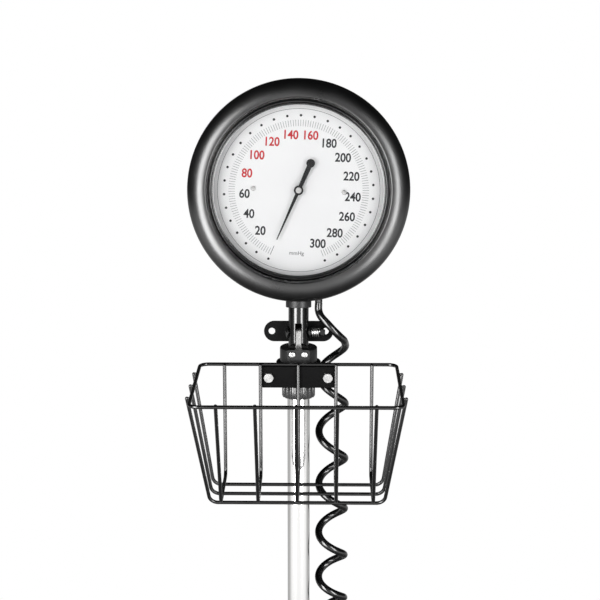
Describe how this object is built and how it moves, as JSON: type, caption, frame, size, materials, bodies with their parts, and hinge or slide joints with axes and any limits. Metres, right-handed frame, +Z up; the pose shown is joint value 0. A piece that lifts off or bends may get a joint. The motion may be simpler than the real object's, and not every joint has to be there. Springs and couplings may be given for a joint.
{
  "type": "stand aneroid sphygmomanometer",
  "caption": "Clock-style aneroid pressure gauge that tilts on a telescopic pole with a wire basket, a coiled hose and a five-arm castor base.",
  "frame": {"origin": "on the floor under the middle of the base's box", "axes": "+Z up along the pole, the gauge faces -Y, +X to the viewer's right"},
  "size_m": [0.5348, 0.5085, 1.0971],
  "materials": {
    "black_paint": "gloss black enamel",
    "black_plastic": "satin moulded black",
    "black_hose": "glossy",
    "chrome": "polished",
    "zinc": "zinc plated",
    "brass": "turned",
    "dial_white": "white painted sheet",
    "clear_window": "clear",
    "castor_grey": "moulded dark grey",
    "wheel_rubber": "dark tread"
  },
  "bodies": {
    "stand": {"base_star": "black_paint", "base_bolt": "zinc", "lower_pole": "chrome", "pole_plug": "zinc", "pole_bush": "black_plastic"},
    "collar": {"lock_collar": "black_plastic"},
    "slider": {"mast_foot": "black_plastic"},
    "mast": {"mast": "chrome", "mast_head": "black_paint", "head_screw_1": "chrome", "head_screw_2": "chrome", "pivot_tongue": "zinc", "basket_plate": "black_paint", "basket_strap": "black_paint", "basket_bolt_1": "zinc", "basket_bolt_2": "zinc", "basket_rim": "black_paint", "basket_cross_wire_1": "black_paint", "basket_cross_wire_2": "black_paint", "basket_cross_wire_3": "black_paint", "basket_cross_wire_4": "black_paint", "basket_cross_wire_5": "black_paint", "basket_long_wire_1": "black_paint", "basket_long_wire_2": "black_paint", "basket_long_wire_3": "black_paint", "tube_lead": "black_hose", "tube_coil": "black_hose", "hose_connector": "zinc"},
    "head": {"fork": "black_paint", "hanger_plate": "black_paint", "pivot_bolt": "black_paint", "pivot_washer": "black_paint", "pivot_spring": "chrome", "pivot_nut": "chrome", "case_shell": "black_plastic", "bezel": "black_plastic", "lens": "clear_window", "lens_ring": "black_plastic", "dial": "dial_white", "dial_screw_1": "zinc", "dial_screw_2": "zinc", "movement_frame": "brass", "capsule_base": "brass", "hairspring": "zinc", "hose_nipple": "brass"},
    "sector": {"sector_gear": "brass"},
    "pointer": {"pointer": "black_paint", "pinion_arbor": "zinc"},
    "lid": {"capsule_lid": "brass", "link": "zinc"},
    "castor_1": {"castor_fork_1": "castor_grey"},
    "wheel_1": {"castor_wheel_1": "wheel_rubber"},
    "castor_2": {"castor_fork_2": "castor_grey"},
    "wheel_2": {"castor_wheel_2": "wheel_rubber"},
    "castor_3": {"castor_fork_3": "castor_grey"},
    "wheel_3": {"castor_wheel_3": "wheel_rubber"},
    "castor_4": {"castor_fork_4": "castor_grey"},
    "wheel_4": {"castor_wheel_4": "wheel_rubber"},
    "castor_5": {"castor_fork_5": "castor_grey"},
    "wheel_5": {"castor_wheel_5": "wheel_rubber"}
  },
  "joints": [
    {"name": "height_slide", "type": "slide", "parent": "stand", "child": "slider", "axis": [0, 0, 1], "range_m": [0, 0.35]},
    {"name": "mast_swivel", "type": "hinge", "parent": "slider", "child": "mast", "pos_m": [0, 0.0244, 0.5], "axis": [0, 0, 1], "continuous": true},
    {"name": "collar_turn", "type": "hinge", "parent": "stand", "child": "collar", "pos_m": [0, 0.0244, 0.8095], "axis": [0, 0, 1], "range_deg": [0, 90]},
    {"name": "head_tilt", "type": "hinge", "parent": "mast", "child": "head", "pos_m": [0, 0.0244, 0.8697], "axis": [-1, 0, 0], "range_deg": [-25, 12], "deforming": ["tube_lead"]},
    {"name": "sector_swing", "type": "hinge", "parent": "head", "child": "sector", "pos_m": [0.01408, 0.04892, 0.96908], "axis": [0, -0.9874, 0.1582], "range_deg": [0, 35.05], "stiffness_Nm_per_rad": 0.01, "springref_deg": -5.73},
    {"name": "pointer_turn", "type": "hinge", "parent": "head", "child": "pointer", "pos_m": [0, 0.03682, 0.99785], "axis": [0, 0.9874, -0.1582], "range_deg": [0, 315.5]},
    {"name": "capsule_lid_rise", "type": "slide", "parent": "head", "child": "lid", "axis": [0, 0.1582, 0.9874], "range_m": [0, 0.00242]},
    {"name": "castor_swivel_1", "type": "hinge", "parent": "stand", "child": "castor_1", "pos_m": [0, -0.2116, 0.057], "axis": [0, 0, 1], "continuous": true},
    {"name": "wheel_spin_1", "type": "hinge", "parent": "castor_1", "child": "wheel_1", "pos_m": [0, -0.2296, 0.025], "axis": [1, 0, 0], "continuous": true},
    {"name": "castor_swivel_2", "type": "hinge", "parent": "stand", "child": "castor_2", "pos_m": [0.22445, -0.04853, 0.057], "axis": [0, 0, 1], "continuous": true},
    {"name": "wheel_spin_2", "type": "hinge", "parent": "castor_2", "child": "wheel_2", "pos_m": [0.24157, -0.05409, 0.025], "axis": [0.309, 0.9511, 0], "continuous": true},
    {"name": "castor_swivel_3", "type": "hinge", "parent": "stand", "child": "castor_3", "pos_m": [0.13872, 0.21533, 0.057], "axis": [0, 0, 1], "continuous": true},
    {"name": "wheel_spin_3", "type": "hinge", "parent": "castor_3", "child": "wheel_3", "pos_m": [0.1493, 0.22989, 0.025], "axis": [-0.809, 0.5878, 0], "continuous": true},
    {"name": "castor_swivel_4", "type": "hinge", "parent": "stand", "child": "castor_4", "pos_m": [-0.13872, 0.21533, 0.057], "axis": [0, 0, 1], "continuous": true},
    {"name": "wheel_spin_4", "type": "hinge", "parent": "castor_4", "child": "wheel_4", "pos_m": [-0.1493, 0.22989, 0.025], "axis": [-0.809, -0.5878, 0], "continuous": true},
    {"name": "castor_swivel_5", "type": "hinge", "parent": "stand", "child": "castor_5", "pos_m": [-0.22445, -0.04853, 0.057], "axis": [0, 0, 1], "continuous": true},
    {"name": "wheel_spin_5", "type": "hinge", "parent": "castor_5", "child": "wheel_5", "pos_m": [-0.24157, -0.05409, 0.025], "axis": [0.309, -0.9511, 0], "continuous": true}
  ],
  "couplings": [
    {"joint": "pointer_turn", "follows": "sector_swing", "ratio": 9},
    {"joint": "capsule_lid_rise", "follows": "sector_swing", "m_per_rad": 0.0039379}
  ]
}
